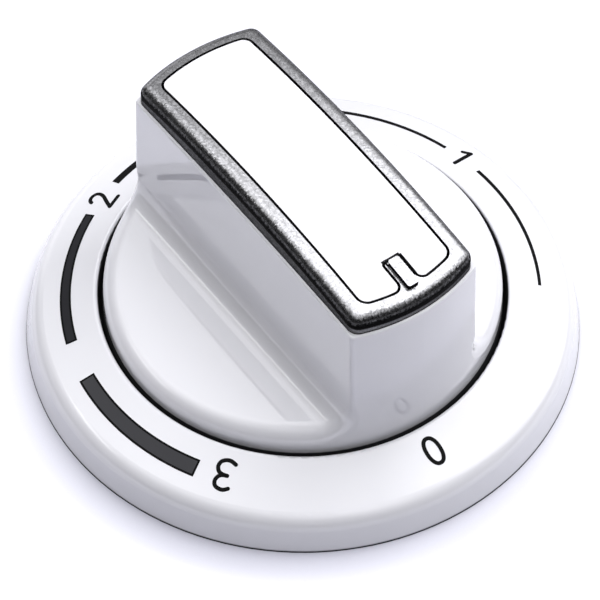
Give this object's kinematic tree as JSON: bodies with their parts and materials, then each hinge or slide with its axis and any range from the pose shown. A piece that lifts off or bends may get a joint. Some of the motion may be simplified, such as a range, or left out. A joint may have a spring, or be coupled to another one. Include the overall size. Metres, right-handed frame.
{
  "type": "oven control knob",
  "caption": "White cooker knob with a tall bar grip, silver trim cap, white top inlay and raised pointer, turning in a round dial bezel; pushes onto a D shaft.",
  "frame": {"origin": "centre of the bezel's flat back, on the panel it is screwed to, on the shaft's axis", "axes": "+Z out of the panel along the shaft's axis, -Y the way the pointer looks at rest, +X to its side"},
  "size_m": [0.06, 0.06, 0.0276],
  "materials": {
    "bezel_plastic": "smooth gloss white moulding with a printed black scale",
    "knob_plastic": "smooth gloss white moulding",
    "trim_silver": "fine-grained metallic silver paint on plastic",
    "inlay_plastic": "smooth gloss white moulding",
    "spring_steel": "plain bright spring steel"
  },
  "bodies": {
    "bezel": {"bezel": "bezel_plastic"},
    "knob": {"knob_body": "knob_plastic", "trim_cap": "trim_silver", "top_inlay": "inlay_plastic", "shaft_clip": "spring_steel", "retaining_ring": "spring_steel"}
  },
  "joints": [
    {"name": "knob_turn", "type": "hinge", "parent": "bezel", "child": "knob", "pos_m": [0, 0, 0], "axis": [0, 0, 1], "continuous": true}
  ]
}
